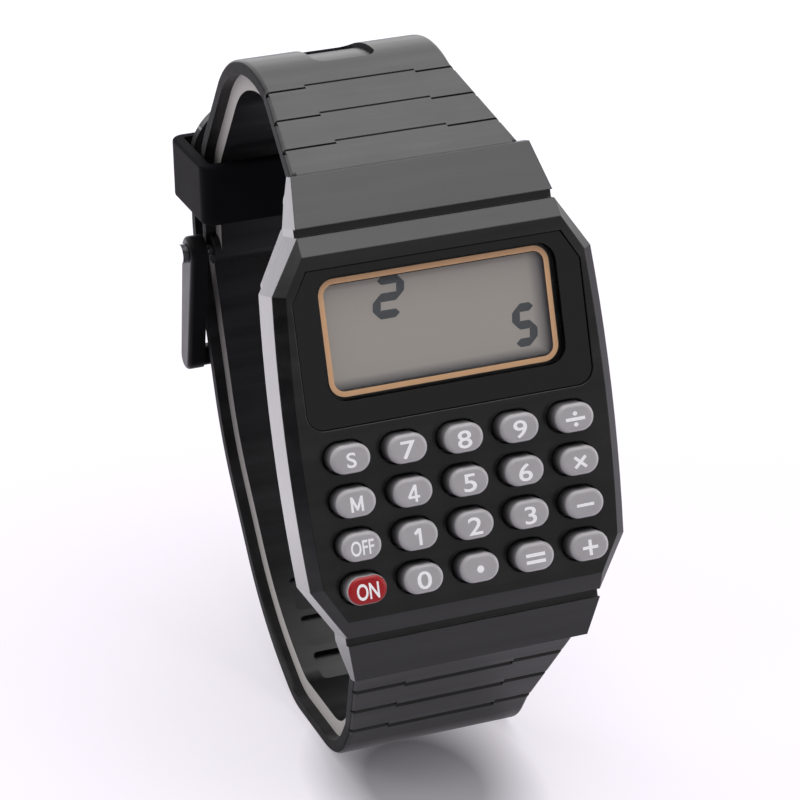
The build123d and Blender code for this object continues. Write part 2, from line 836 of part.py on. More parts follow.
def strap_root(ramp, hand):
    """In a part: the ramp's two layers, the neck under the lug cover, and the barrel."""
    ramp_face = Plane(origin=ramp.origin, x_dir=ramp.x_dir, z_dir=ramp.y_dir)
    with BuildSketch(ramp_face) as face_outline:
        ramp_outline(0)
    extrude(face_outline.sketch, amount=-face_layer)
    with BuildSketch(ramp_face.offset(-face_layer)) as inner_outline:
        ramp_outline(ledge)
    extrude(inner_outline.sketch, amount=-(strap_thickness - face_layer))
    bar = ramp.to_local_coords(place(Vector(hand * bar_reach, -bar_depth)))
    with BuildSketch(ramp) as neck:
        with Locations((bar.X, bar.Y)):
            Circle(barrel_radius)
        with Locations((neck_overlap, -strap_thickness / 2)):
            Rectangle(2 * neck_overlap, strap_thickness)
        make_hull()
    extrude(neck.sketch, amount=neck_width / 2, both=True)


def strap_bore(ramp, hand):
    """In a part: the hole for the spring bar."""
    bar = ramp.to_local_coords(place(Vector(hand * bar_reach, -bar_depth)))
    with BuildSketch(ramp) as bore:
        with Locations((bar.X, bar.Y)):
            Circle(bar_radius + running_fit)
    extrude(bore.sketch, amount=neck_width, both=True, mode=Mode.SUBTRACT)


def groove_profile(distance, slope, depth):
    """In a sketch of the ramp's section: a slope down and a steep wall up."""
    Polygon(
        (distance - slope, 0),
        (distance, -depth),
        (distance + groove_wall, 0),
        (distance + groove_wall, cut_overrun),
        (distance - slope, cut_overrun),
        align=None,
    )


def ramp_grooves(ramp):
    """In a part: the grooves across a ramp, shallower and wider along the middle."""
    for cheek in (1, -1):
        with BuildSketch(ramp.offset(cheek * groove_centre_width / 2)) as side_grooves:
            for number in range(groove_count):
                groove_profile(
                    groove_first + number * groove_pitch, groove_slope, groove_depth
                )
        extrude(side_grooves.sketch, amount=cheek * root_width, mode=Mode.SUBTRACT)
    with BuildSketch(ramp) as centre_grooves:
        for number in range(groove_count):
            groove_profile(
                groove_first + number * groove_pitch + groove_centre_shift,
                groove_centre_slope,
                groove_centre_depth,
            )
    extrude(
        centre_grooves.sketch,
        amount=groove_centre_width / 2,
        both=True,
        mode=Mode.SUBTRACT,
    )


def long_edges(strap, line):
    """The edges along both sides of a strap's outer face, whose side view is a line."""
    found = []
    for edge in strap.edges():
        middle = side.to_local_coords(edge @ 0.5)
        on_face = line.distance_to(Vector(middle.X, middle.Y)) < tolerance
        if on_face and abs(middle.Z) > strap_width / 4:
            found.append(edge)
    return found


# Upper strap: root, crown and the run down to the buckle pin
upper_line = FilletPolyline(root_up, *crown, pin_top, radius=crown_bends)
crown_route = [ramp_up_end, *crown, pin_top]
upper_ramp = ramp_plane(root_up, up_ramp, 1)
with BuildPart() as crown_recess:
    with BuildSketch(side):
        layer(crown_route, crown_bends, -cut_overrun, recess_depth)
    extrude(amount=recess_width / 2, both=True)
    with BuildSketch(across):
        with Locations((0, (recess_high + recess_low) / 2)):
            RectangleRounded(recess_width, recess_low - recess_high, recess_round)
    extrude(amount=2 * loop_reach, mode=Mode.INTERSECT)

with BuildPart() as strap_upper:
    with BuildSketch(side):
        layer(crown_route, crown_bends, 0, face_layer)
    extrude(amount=strap_width / 2, both=True)
    with BuildSketch(side):
        layer(crown_route, crown_bends, face_layer, strap_thickness)
    extrude(amount=strap_width / 2 - ledge, both=True)
    strap_root(upper_ramp, 1)
    fillet(long_edges(strap_upper, upper_line), strap_edge_round)
    with BuildSketch(side):
        with Locations((pin_centre.X, pin_centre.Y)):
            Circle(pin_depth)
    extrude(amount=strap_width / 2 - strap_edge_round, both=True)
    with BuildSketch(buckle_top):
        with Locations((0, -tongue_knuckle_radius - tongue_side_gap)):
            Rectangle(
                tongue_width + 2 * tongue_side_gap,
                tongue_knuckle_radius + tongue_side_gap + strap_thickness,
                align=(Align.CENTER, Align.MIN),
            )
    extrude(amount=-2 * strap_thickness, both=True, mode=Mode.SUBTRACT)
    with BuildSketch(side):
        with Locations((pin_centre.X, pin_centre.Y)):
            Circle(pin_radius + running_fit)
    extrude(amount=strap_width, both=True, mode=Mode.SUBTRACT)
    strap_bore(upper_ramp, 1)
    ramp_grooves(upper_ramp)
    add(crown_recess.part, mode=Mode.SUBTRACT)
strap_upper.part.label = "strap_upper"
export_step(strap_upper.part, "parts/strap_upper.step")

# Lower strap: root, foot, back and the tail that passes over the buckle pin
tail_height = strap_thickness + tail_lift
tail_tip = at_buckle(-tail_length, tail_height)
tail_top = at_buckle(tail_shift, tail_height)
tail_low = back[0] + (back[1] - back[0]).normalized() * tail_joint
lower_corners = [tail_top, tail_low, back[1], *foot]
lower_bends = [tail_bend, *back_bends, *foot_bends]
lower_line = FilletPolyline(tail_tip, *lower_corners, root_down, radius=lower_bends)
lower_ramp = ramp_plane(root_down, down_ramp, -1)
tip_axis = Axis(place(tail_tip), direction(down_strap))
off_axis = Axis(place(tail_tip), direction(off_strap))

# The tongue's hole lies where its shank crosses the tail, and the others follow at one pitch
down_tail = (tail_low - tail_top).normalized()
off_tail = -inward(tail_top, tail_low)
shank_foot = at_buckle(tongue_neck, -tongue_drop)
tongue_hole = tail_top + down_tail * (shank_foot - tail_top).dot(down_tail)
tongue_hole_distance = lower_line.param_at_point(tongue_hole) * lower_line.length
foot_distance = lower_line.param_at_point(foot_start) * lower_line.length


def strap_spot(distance, depth):
    """The plane on the lower strap, that far from its tip and that deep under its face."""
    point = lower_line.position_at(distance, position_mode=PositionMode.LENGTH)
    along = lower_line.tangent_at(distance, position_mode=PositionMode.LENGTH)
    into = Vector(along.Y, -along.X)
    return Plane(origin=place(point + into * depth), x_dir=(1, 0, 0), z_dir=direction(-into))


with BuildPart() as lower_lining:
    with BuildSketch(side):
        layer(
            [tail_tip + down_strap * ledge, *lower_corners, ramp_down_end],
            lower_bends,
            face_layer,
            strap_thickness,
        )
    extrude(amount=strap_width / 2 - ledge, both=True)
    tip_face = lower_lining.faces().sort_by(tip_axis)[0]
    fillet(tip_face.edges().filter_by(off_axis), tail_round - ledge)

with BuildPart() as strap_lower:
    with BuildSketch(side):
        layer([tail_tip, *lower_corners, ramp_down_end], lower_bends, 0, face_layer)
    extrude(amount=strap_width / 2, both=True)
    tip_face = strap_lower.faces().sort_by(tip_axis)[0]
    fillet(tip_face.edges().filter_by(off_axis), tail_round)
    add(lower_lining.part)
    strap_root(lower_ramp, -1)
    fillet(long_edges(strap_lower, lower_line), strap_edge_round)
    for number in range(-holes_to_tip, holes_to_foot + 1):
        spot = strap_spot(tongue_hole_distance + number * hole_pitch, strap_thickness / 2)
        with BuildSketch(spot):
            RectangleRounded(hole_width, hole_length, hole_length / 4)
        extrude(amount=strap_thickness, both=True, mode=Mode.SUBTRACT)
    for number in range(rib_pocket_count):
        distance = foot_distance - rib_pocket_start - number * rib_pocket_pitch
        with BuildSketch(strap_spot(distance, strap_thickness + cut_overrun)):
            RectangleRounded(rib_pocket_width, rib_pocket_length, rib_pocket_depth)
        extrude(amount=cut_overrun + rib_pocket_depth, mode=Mode.SUBTRACT)
    strap_bore(lower_ramp, -1)
    ramp_grooves(lower_ramp)
strap_lower.part.label = "strap_lower"
export_step(strap_lower.part, "parts/strap_lower.step")

# Buckle pin, through the end of the upper strap, with a head outside each arm
arm_inner = strap_width / 2 + arm_gap
arm_outer = arm_inner + arm_thickness
with BuildPart() as buckle_pin:
    with BuildSketch(buckle_side):
        with Locations((0, -pin_depth)):
            Circle(pin_radius)
    extrude(amount=arm_outer + seat_gap, both=True)
    for hand in (1, -1):
        with BuildSketch(buckle_side.offset(hand * (arm_outer + seat_gap))):
            with Locations((0, -pin_depth)):
                Circle(pin_head_radius)
        extrude(amount=hand * pin_head_height)
buckle_pin.part.label = "buckle_pin"
export_step(buckle_pin.part, "parts/buckle_pin.step")

# Buckle frame: two arms from the pin and a cross bar over the tail
with BuildPart() as buckle_frame:
    for hand in (1, -1):
        with BuildSketch(buckle_side.offset(hand * arm_inner)):
            with Locations((0, -pin_depth)):
                Circle(arm_pin_radius)
            with Locations((arm_end_distance, arm_end_rise)):
                Circle(arm_end_radius)
            make_hull()
        extrude(amount=hand * arm_thickness)
    for outward in (Axis.X, -Axis.X):
        outer_face = buckle_frame.faces().sort_by(outward)[-1]
        fillet(outer_face.edges(), arm_round)
    with BuildSketch(buckle_side):
        bar_middle = arm_end_distance + arm_end_radius - cross_bar_length / 2
        with Locations((bar_middle, cross_bar_rise + cross_bar_thickness / 2)):
            RectangleRounded(cross_bar_length, cross_bar_thickness, cross_bar_round)
    extrude(amount=arm_inner, both=True)
    with BuildSketch(buckle_side):
        with Locations((0, -pin_depth)):
            Circle(pin_radius + running_fit)
    extrude(amount=arm_outer, both=True, mode=Mode.SUBTRACT)
buckle_frame.part.label = "buckle_frame"
export_step(buckle_frame.part, "parts/buckle_frame.step")

# Tongue: a knuckle on the pin, a shank through the tail's hole and a tip on the cross bar
tongue_top = cross_bar_rise + cross_bar_thickness + seat_gap + tongue_thickness / 2
shank_rise = Vector(off_tail.dot(down_strap), off_tail.dot(off_strap))
shank_low = Vector(tongue_neck, -tongue_drop)
shank_high = shank_low + shank_rise * ((tongue_top + tongue_drop) / shank_rise.Y)
with BuildPart() as buckle_tongue:
    with BuildSketch(buckle_side):
        layer(
            [Vector(0, -pin_depth), shank_low, shank_high, Vector(tongue_reach, tongue_top)],
            [tongue_bend, tongue_bend],
            -tongue_thickness / 2,
            tongue_thickness / 2,
        )
        with Locations((0, -pin_depth)):
            Circle(tongue_knuckle_radius)
            Circle(pin_radius + running_fit, mode=Mode.SUBTRACT)
    extrude(amount=tongue_width / 2, both=True)
    tip_face = buckle_tongue.faces().sort_by(tip_axis)[-1]
    fillet(tip_face.edges().filter_by(off_axis), tongue_width / 4)
buckle_tongue.part.label = "buckle_tongue"
export_step(buckle_tongue.part, "parts/buckle_tongue.step")

# Keeper: a loop round both layers, above the pin
keeper_low = strap_thickness + keeper_gap + keeper_slack
keeper_high = tail_height + keeper_gap
keeper_side = strap_width + 2 * keeper_gap
keeper_plane = Plane(
    origin=place(at_buckle(-keeper_start, (keeper_high - keeper_low) / 2)),
    x_dir=(1, 0, 0),
    z_dir=direction(-down_strap),
)
with BuildPart() as strap_keeper:
    with BuildSketch(keeper_plane):
        RectangleRounded(
            keeper_side + 2 * keeper_wall,
            keeper_low + keeper_high + 2 * keeper_wall,
            keeper_round,
        )
        RectangleRounded(
            keeper_side,
            keeper_low + keeper_high,
            keeper_window_round,
            mode=Mode.SUBTRACT,
        )
    extrude(amount=keeper_length)
    for end_face in strap_keeper.faces().filter_by(tip_axis):
        fillet(end_face.outer_wire().edges(), keeper_edge)
strap_keeper.part.label = "strap_keeper"
export_step(strap_keeper.part, "parts/strap_keeper.step")
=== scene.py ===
import json
import math

import bpy
from mathutils import Matrix, Vector


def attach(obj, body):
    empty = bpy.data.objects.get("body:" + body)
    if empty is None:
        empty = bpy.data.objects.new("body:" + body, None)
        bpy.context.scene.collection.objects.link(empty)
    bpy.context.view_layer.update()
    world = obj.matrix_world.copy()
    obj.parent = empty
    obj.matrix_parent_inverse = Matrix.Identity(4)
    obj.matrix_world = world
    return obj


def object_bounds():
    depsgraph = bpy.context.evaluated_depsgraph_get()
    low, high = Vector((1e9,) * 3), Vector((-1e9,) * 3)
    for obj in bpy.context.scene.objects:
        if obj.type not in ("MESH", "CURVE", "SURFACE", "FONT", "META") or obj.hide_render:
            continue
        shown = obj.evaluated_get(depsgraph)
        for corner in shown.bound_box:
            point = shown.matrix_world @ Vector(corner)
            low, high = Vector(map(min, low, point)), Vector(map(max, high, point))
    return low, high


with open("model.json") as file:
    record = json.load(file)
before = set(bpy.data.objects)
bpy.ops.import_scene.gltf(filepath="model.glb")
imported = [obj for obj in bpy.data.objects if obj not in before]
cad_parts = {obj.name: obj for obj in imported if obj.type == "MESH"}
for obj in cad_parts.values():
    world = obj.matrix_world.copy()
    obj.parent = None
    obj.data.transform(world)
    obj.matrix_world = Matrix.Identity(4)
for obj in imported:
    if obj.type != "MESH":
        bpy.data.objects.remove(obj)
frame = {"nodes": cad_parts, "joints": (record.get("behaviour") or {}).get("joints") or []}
cad_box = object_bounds()
MM = 0.001
nodes = frame["nodes"]
joints = {joint["name"]: joint for joint in frame["joints"]}
scene = bpy.context.scene

# The dial's own axes: across to 3 o'clock, along to 12 o'clock, out of the glass
out = -Vector(joints["key_5_press"]["axis"]).normalized()
across = Vector((1, 0, 0))
along = out.cross(across)
up = Vector((0, 0, 1))
spring_bar_depth = 5.0 * MM
upper_bar = Vector(joints["upper_strap_hinge"]["pos_m"])
lower_bar = Vector(joints["lower_strap_hinge"]["pos_m"])
dial_middle = (upper_bar + lower_bar) / 2 + out * spring_bar_depth
dial = Matrix.Translation(dial_middle) @ Matrix((across, along, out)).transposed().to_4x4()
watch_middle = (cad_box[0] + cad_box[1]) / 2

# Places on the dial in mm from its middle: keys, the line round the window, the clear glass
key_columns = [-11.2, -5.6, 0.0, 5.6, 11.2]
key_rows = [-2.035, -6.145, -10.255, -14.365]
print_drop = 0.1
line_half_width = 11.49
line_low = 3.28
line_high = 14.3
line_corner = 1.55
line_thickness = 0.51
clear_half_width = 11.95
clear_low = 2.98
clear_high = 14.6
clear_corner = 1.9

# Heights over the dial and depths under it in mm, and how thick a print is and how proud it sits
key_rise = 1.87
glass_under = 0.95
cell_depth = 1.55
print_thickness = 0.012
layer_step = 0.001
seat = 0.004

# The painted reflection band on the strap's inner layer in mm: its sides, and the heights where it
# is palest
band_begins = (8.28, 8.34)
band_ends = (8.42, 8.5)
palest_below = (6.0, 26.0)
palest_above = (50.0, 60.0)

# The grooves across each strap ramp in mm: distances from its root, and how its width shrinks
groove_places = [3.6, 7.9, 12.2]
groove_middle = 5.6
middle_shift = 0.35
root_half_width = 11.45
ramp_narrowing = 0.1512
ramp_edge_round = 0.22

# How far a pattern is drawn out: the share of its scale along each axis of the dial
flow_lines = (0.12, 1, 1)
rubbed_lines = (0.2, 1, 1)
fine_streaks = (0.05, 1, 1)
turned_lines = (1, 0.08, 1)


class Signal:
    """One output of a shader node that takes part in sums and products."""

    def __init__(self, tree, socket):
        self.tree = tree
        self.socket = socket

    def math(self, operation, *values, clamp=False):
        node = self.tree.nodes.new("ShaderNodeMath")
        node.operation = operation
        node.use_clamp = clamp
        for socket, value in zip(node.inputs, values):
            feed(self.tree, socket, value)
        return Signal(self.tree, node.outputs[0])

    def __add__(self, other):
        return self.math("ADD", self, other)

    def __radd__(self, other):
        return self.math("ADD", other, self)

    def __sub__(self, other):
        return self.math("SUBTRACT", self, other)

    def __rsub__(self, other):
        return self.math("SUBTRACT", other, self)

    def __mul__(self, other):
        return self.math("MULTIPLY", self, other)

    def __truediv__(self, other):
        return self.math("DIVIDE", self, other)

    def __abs__(self):
        return self.math("ABSOLUTE", self)

    def most(self, other):
        """The greater of two signals."""
        return self.math("MAXIMUM", self, other)

    def root(self):
        return self.math("SQRT", self)

    def step(self, low, high):
        """0 below low, 1 above high, with a straight ramp between them."""
        return self.math("MULTIPLY", self - low, 1 / (high - low), clamp=True)

    def distance(self, other):
        """The long side of a right triangle on two signals."""
        return (self * self + other * other).root()


def feed(tree, socket, value):
    """Link a signal or another socket to a socket, or set the socket's own value."""
    if isinstance(value, Signal):
        tree.links.new(value.socket, socket)
    elif isinstance(value, bpy.types.NodeSocket):
        tree.links.new(value, socket)
    else:
        socket.default_value = value


class Finish:
    """A material on one Principled shader, with its patterns on Object coordinates."""

    def __init__(self, name, **shell):
        self.material = bpy.data.materials.new(name)
        self.material.use_nodes = True
        self.tree = self.material.node_tree
        self.shader = self.tree.nodes["Principled BSDF"]
        self.place = Signal(self.tree, self.node("ShaderNodeTexCoord").outputs["Object"])
        for socket, value in shell.items():
            self.paint(socket.replace("_", " "), value)

    def node(self, kind, settings=(), **sockets):
        made = self.tree.nodes.new(kind)
        for name, value in dict(settings).items():
            setattr(made, name, value)
        for name, value in sockets.items():
            feed(self.tree, made.inputs[name.replace("_", " ")], value)
        return made

    def paint(self, socket, value):
        feed(self.tree, self.shader.inputs[socket], value)

    def stretched(self, scale):
        """Object coordinates in dial axes, scaled apart along each of them."""
        turned = self.node("ShaderNodeMapping", {"vector_type": "TEXTURE"}, Vector=self.place)
        turned.inputs["Rotation"].default_value = dial.to_euler()
        scaled = self.node("ShaderNodeVectorMath", {"operation": "MULTIPLY"})
        feed(self.tree, scaled.inputs[0], turned.outputs[0])
        scaled.inputs[1].default_value = scale
        return Signal(self.tree, scaled.outputs[0])

    def noise(self, scale, detail, roughness=0.5, stretch=(1, 1, 1)):
        """Cloudy noise, drawn out by the shares in stretch."""
        made = self.node("ShaderNodeTexNoise", Vector=self.stretched(stretch), Scale=scale,
                         Detail=detail, Roughness=roughness)
        return Signal(self.tree, made.outputs["Fac"])

    def speckle(self, scale, size):
        """Soft dots, one in each cell of a random net."""
        made = self.node("ShaderNodeTexVoronoi", Vector=self.place, Scale=scale)
        return 1 - Signal(self.tree, made.outputs["Distance"]).step(size, size * 1.6)

    def reach(self, direction, point):
        """How far a surface point lies from a point, along a direction, in mm."""
        moved = self.node("ShaderNodeVectorMath", {"operation": "SUBTRACT"})
        feed(self.tree, moved.inputs[0], self.place)
        moved.inputs[1].default_value = point
        measured = self.node("ShaderNodeVectorMath", {"operation": "DOT_PRODUCT"})
        feed(self.tree, measured.inputs[0], moved.outputs[0])
        measured.inputs[1].default_value = direction / MM
        return Signal(self.tree, measured.outputs["Value"])

    def facing(self, direction):
        """How squarely a surface faces a direction, from -1 to 1."""
        surface = self.node("ShaderNodeNewGeometry")
        turned = self.node("ShaderNodeVectorMath", {"operation": "DOT_PRODUCT"})
        feed(self.tree, turned.inputs[0], surface.outputs["Normal"])
        turned.inputs[1].default_value = direction
        return Signal(self.tree, turned.outputs["Value"])

    def blend(self, share, first, second):
        """The first colour where the share is 0, and the second where it is 1."""
        made = self.node("ShaderNodeMix", {"data_type": "RGBA"})
        feed(self.tree, made.inputs["Factor"], share)
        for socket, colour in zip((made.inputs[6], made.inputs[7]), (first, second)):
            feed(self.tree, socket, colour if isinstance(colour, Signal) else (*colour, 1))
        return Signal(self.tree, made.outputs[2])

    def relief(self, height, distance, edge_round=0.0):
        """Bumps of that depth in mm, and sharp edges that catch light as if rounded."""
        bump = self.node("ShaderNodeBump", Height=height, Distance=distance * MM, Strength=1.0)
        if edge_round:
            soft = self.node("ShaderNodeBevel", {"samples": 4}, Radius=edge_round * MM)
            feed(self.tree, bump.inputs["Normal"], soft.outputs[0])
        self.paint("Normal", bump.outputs[0])


def ink(red, green, blue):
    """A colour written as it shows on a screen, from 0 to 255, as light."""
    def light(value):
        share = value / 255
        return share / 12.92 if share <= 0.04045 else ((share + 0.055) / 1.055) ** 2.4
    return tuple(light(value) for value in (red, green, blue))


def case_resin():
    """Black moulded resin, polished, with faint flow lines across and a little dust."""
    finish = Finish("case_resin", IOR=1.5)
    flow = finish.noise(scale=900, detail=3, roughness=0.55, stretch=flow_lines)
    cloud = finish.noise(scale=160, detail=2)
    dusty_places = finish.noise(scale=90, detail=1).step(0.55, 0.7)
    dust = finish.speckle(scale=420, size=0.045) * dusty_places
    streak = finish.noise(scale=420, detail=3, roughness=0.6, stretch=fine_streaks).step(0.35, 0.7)
    black = finish.blend(streak, ink(14, 13, 15), ink(36, 35, 36))
    finish.paint("Base Color", finish.blend(dust * 0.5, black, ink(120, 118, 122)))
    finish.paint("Roughness", 0.1 + flow * 0.08 + cloud * 0.1 + dust * 0.3)
    finish.relief(flow + cloud * 1.5, distance=0.006, edge_round=0.14)
    return finish


def strap_resin():
    """Black resin with a softer shine, matt at its sides, a pale band of painted reflection on its
    inner layer.
    """
    finish = Finish("strap_resin", IOR=1.41)
    rub = finish.noise(scale=700, detail=4, roughness=0.6, stretch=rubbed_lines)
    cloud = finish.noise(scale=220, detail=2)
    grain = finish.noise(scale=5200, detail=2)
    streak = finish.noise(scale=380, detail=3, roughness=0.6, stretch=fine_streaks).step(0.35, 0.7)
    black = finish.blend(streak, ink(14, 13, 15), ink(40, 39, 41))
    flank = abs(finish.facing(across)).step(0.7, 0.9)
    aside = abs(finish.reach(across, dial_middle))
    # Painted reflection: a pale band on the inner layer's sides, palest near the floor and near the
    # loop's top
    reflection_band = aside.step(*band_begins) * (1 - aside.step(*band_ends)) * flank
    height = finish.reach(up, Vector((0, 0, 0)))
    reflection_brightest = (1 - height.step(*palest_below)).most(height.step(*palest_above))
    pale = finish.blend(reflection_brightest, ink(150, 146, 145), ink(232, 227, 224))
    finish.paint("Base Color", finish.blend(reflection_band * 0.95, black, pale))
    finish.paint("Roughness", 0.2 + rub * 0.12 + cloud * 0.1 + flank * 0.6)
    finish.relief(rub + grain * 0.25, distance=0.006)
    return finish


def moulded_resin():
    """The dull black of the keeper, moulded with a fine grain."""
    finish = Finish("moulded_resin", IOR=1.5, Specular_IOR_Level=0.01)
    cloud = finish.noise(scale=260, detail=2)
    grain = finish.noise(scale=5200, detail=2)
    finish.paint("Base Color", finish.blend(cloud, ink(19, 18, 20), ink(26, 25, 28)))
    finish.paint("Roughness", 0.5 + cloud * 0.1)
    finish.relief(grain, distance=0.004, edge_round=0.12)
    return finish


def printed_glass():
    """Flat glass: clear to just past the line, black outside that."""
    finish = Finish("printed_glass", IOR=1.5, Roughness=0.04)
    middle = dial_middle + along * (clear_low + clear_high) / 2 * MM
    half_height = (clear_high - clear_low) / 2
    sideways = (abs(finish.reach(across, middle)) - (clear_half_width - clear_corner)).most(0.0)
    upright = (abs(finish.reach(along, middle)) - (half_height - clear_corner)).most(0.0)
    solid = (sideways.distance(upright) - clear_corner).step(-0.05, 0.0)
    smear = finish.noise(scale=240, detail=3)
    finish.paint("Base Color", finish.blend(smear, ink(9, 9, 10), ink(14, 13, 15)))
    finish.paint("Roughness", 0.03 + smear * 0.05)
    finish.paint("Alpha", 0.07 + solid * 0.93)
    return finish


def display_cell():
    """The grey cell under the glass, with painted shade towards its lower and right edges."""
    finish = Finish("display_cell", Roughness=0.35, IOR=1.45)
    middle = dial_middle + along * (line_low + line_high) / 2 * MM
    # Painted shade: the cell's colour darkens towards its lower and right edges
    right = finish.reach(across, middle).step(9.5, 11.1)
    low = (0 - finish.reach(along, middle)).step(3.9, 5.0)
    haze = finish.noise(scale=110, detail=2) * 0.5 + finish.noise(scale=3000, detail=2) * 0.2
    grey = finish.blend(haze, ink(203, 195, 187), ink(195, 189, 185))
    finish.paint("Base Color", finish.blend(right.most(low) * 0.85, grey, ink(88, 88, 100)))
    return finish


def key_rubber(name, top=None):
    """Satin grey key, painted shade at its foot, painted highlight on one side of its rim, coloured
    top if asked.
    """
    finish = Finish(name, IOR=1.48)
    cloud = finish.noise(scale=500, detail=3)
    grain = finish.noise(scale=6000, detail=2)
    height = finish.reach(out, dial_middle)
    under_top = key_rise - height
    colour = finish.blend(cloud, ink(174, 171, 174), ink(190, 187, 190))
    # Painted highlight: the top's rounded rim is paler where it faces right and down
    rim = (1 - under_top.step(0.12, 0.3)) * under_top.step(0.0, 0.04)
    highlight_side = finish.facing(across * 0.8 - along * 0.6).step(0.0, 0.5)
    colour = finish.blend(rim * highlight_side * 0.8, colour, ink(235, 233, 236))
    # Painted shade: the key's flank darkens towards its foot, where the gap round it lies in shade
    foot_shade = 1 - height.step(0.3, key_rise - 0.25)
    colour = finish.blend(foot_shade.root() * 0.9, colour, ink(12, 12, 13))
    if top:
        on_top = 1 - under_top.step(0.15, 0.2)
        colour = finish.blend(on_top, colour, ink(*top))
    finish.paint("Base Color", colour)
    finish.paint("Roughness", 0.27 + cloud * 0.12)
    finish.relief(grain, distance=0.004)
    return finish


def printed_ink(name, first, second, scale, roughness):
    """A thin even print whose colour wanders a little between two."""
    finish = Finish(name, Roughness=roughness)
    mottle = finish.noise(scale=scale, detail=2)
    finish.paint("Base Color", finish.blend(mottle, ink(*first), ink(*second)))
    return finish


def white_print():
    """The keys' characters, a little worn, with a little light of their own to show white."""
    finish = Finish("white_print", Roughness=0.4, Emission_Strength=0.14)
    wear = finish.noise(scale=2600, detail=3).step(0.3, 0.75)
    finish.paint("Base Color", finish.blend(wear, ink(253, 252, 254), ink(240, 238, 242)))
    finish.paint("Emission Color", (*ink(250, 249, 252), 1))
    return finish


def turned_steel(name, shade=(150, 150, 154), stretch=fine_streaks):
    """Steel with fine lines from brushing or turning."""
    finish = Finish(name, Metallic=1.0)
    lines = finish.noise(scale=2600, detail=4, roughness=0.6, stretch=stretch)
    stain = finish.noise(scale=150, detail=3)
    darker = tuple(part * 0.8 for part in shade)
    finish.paint("Base Color", finish.blend(stain, ink(*shade), ink(*darker)))
    finish.paint("Roughness", 0.2 + lines * 0.16)
    finish.relief(lines, distance=0.003)
    return finish


def black_steel():
    """Buckle steel under black lacquer, rubbed bright in places."""
    finish = Finish("black_steel", IOR=1.5, Specular_IOR_Level=0.08)
    scuff = finish.noise(scale=1300, detail=5, roughness=0.7).step(0.66, 0.74)
    cloud = finish.noise(scale=300, detail=2)
    finish.paint("Base Color", finish.blend(scuff * 0.5, ink(20, 20, 22), ink(108, 108, 112)))
    finish.paint("Metallic", scuff * 0.7)
    finish.paint("Roughness", 0.3 + cloud * 0.16)
    return finish


def dull(name, colour, roughness, scale=800):
    """A plain moulded or laminated inner part with a slight mottle."""
    finish = Finish(name)
    mottle = finish.noise(scale=scale, detail=3)
    darker = tuple(part * 0.85 for part in colour)
    finish.paint("Base Color", finish.blend(mottle, ink(*colour), ink(*darker)))
    finish.paint("Roughness", roughness - 0.05 + mottle * 0.1)
    finish.relief(mottle, distance=0.004)
    return finish


def wear_finish(piece, finish):
    """Give a piece one material and no other."""
    piece.data.materials.clear()
    piece.data.materials.append(finish.material)


finishes = {
    "case": case_resin(),
    "strap": strap_resin(),
    "glass": printed_glass(),
    "cell": display_cell(),
    "key": key_rubber("key_rubber"),
    "red_key": key_rubber("red_key_rubber", (172, 20, 28)),
    "white": white_print(),
    "copper": printed_ink("copper_print", (255, 204, 157), (245, 193, 147), 1500, 0.38),
    "segment": printed_ink("segment_ink", (84, 88, 94), (98, 101, 105), 700, 0.4),
    "back": turned_steel("brushed_back"),
    "steel": turned_steel("turned_steel", (168, 168, 172), turned_lines),
    "spring": turned_steel("spring_strip", (176, 168, 140)),
    "black_steel": black_steel(),
    "keeper": moulded_resin(),
    "foil": dull("reflector_foil", (170, 172, 168), 0.4),
    "black_rubber": dull("black_rubber", (24, 24, 25), 0.7),
    "inner_plastic": dull("inner_plastic", (44, 44, 46), 0.5),
    "board": dull("green_laminate", (24, 92, 58), 0.4, 1600),
    "resin_drop": dull("resin_drop", (12, 12, 13), 0.25),
}

# Which of the part's nodes wear which finish, and the keys as they lie in their rows
looks = {
    "case": ["case_front"],
    "strap": ["strap_upper", "strap_lower"],
    "keeper": ["strap_keeper"],
    "glass": ["display_lens"],
    "cell": ["lcd_panel"],
    "foil": ["lcd_reflector"],
    "black_rubber": ["zebra_strips", "keypad_mat", "case_gasket"],
    "inner_plastic": ["module_frame"],
    "board": ["circuit_board"],
    "resin_drop": ["chip_blob"],
    "back": ["case_back"],
    "steel": ["module_screws", "quartz_crystal", "battery", "case_screws", "spring_bar_top",
              "spring_bar_bottom", "buckle_pin"],
    "spring": ["battery_clip", "battery_contact"],
    "black_steel": ["buckle_frame", "buckle_tongue"],
}
key_table = [
    ["key_s", "key_7", "key_8", "key_9", "key_divide"],
    ["key_m", "key_4", "key_5", "key_6", "key_multiply"],
    ["key_off", "key_1", "key_2", "key_3", "key_minus"],
    ["key_on", "key_0", "key_point", "key_equals", "key_plus"],
]
for look, names in looks.items():
    for name in names:
        wear_finish(nodes[name], finishes[look])
for row in key_table:
    for name in row:
        wear_finish(nodes[name], finishes["red_key" if name == "key_on" else "key"])


def pick(*pieces):
    """Select these pieces and no other, the first of them active."""
    bpy.ops.object.select_all(action="DESELECT")
    for piece in pieces:
        piece.select_set(True)
    bpy.context.view_layer.objects.active = pieces[0]


def leave_in_mesh():
    """Carry the active piece's place, turn and size over into its mesh."""
    bpy.ops.object.transform_apply(location=True, rotation=True, scale=True)


def joined(pieces):
    """One piece made of several."""
    pick(*pieces)
    bpy.ops.object.join()
    return bpy.context.active_object


def settle(piece, place):
    """Carry a piece made in the XY plane to its place on the dial and leave that in its mesh."""
    pick(piece)
    piece.matrix_world = dial @ Matrix.Translation(Vector(place) * MM) @ piece.matrix_world
    leave_in_mesh()


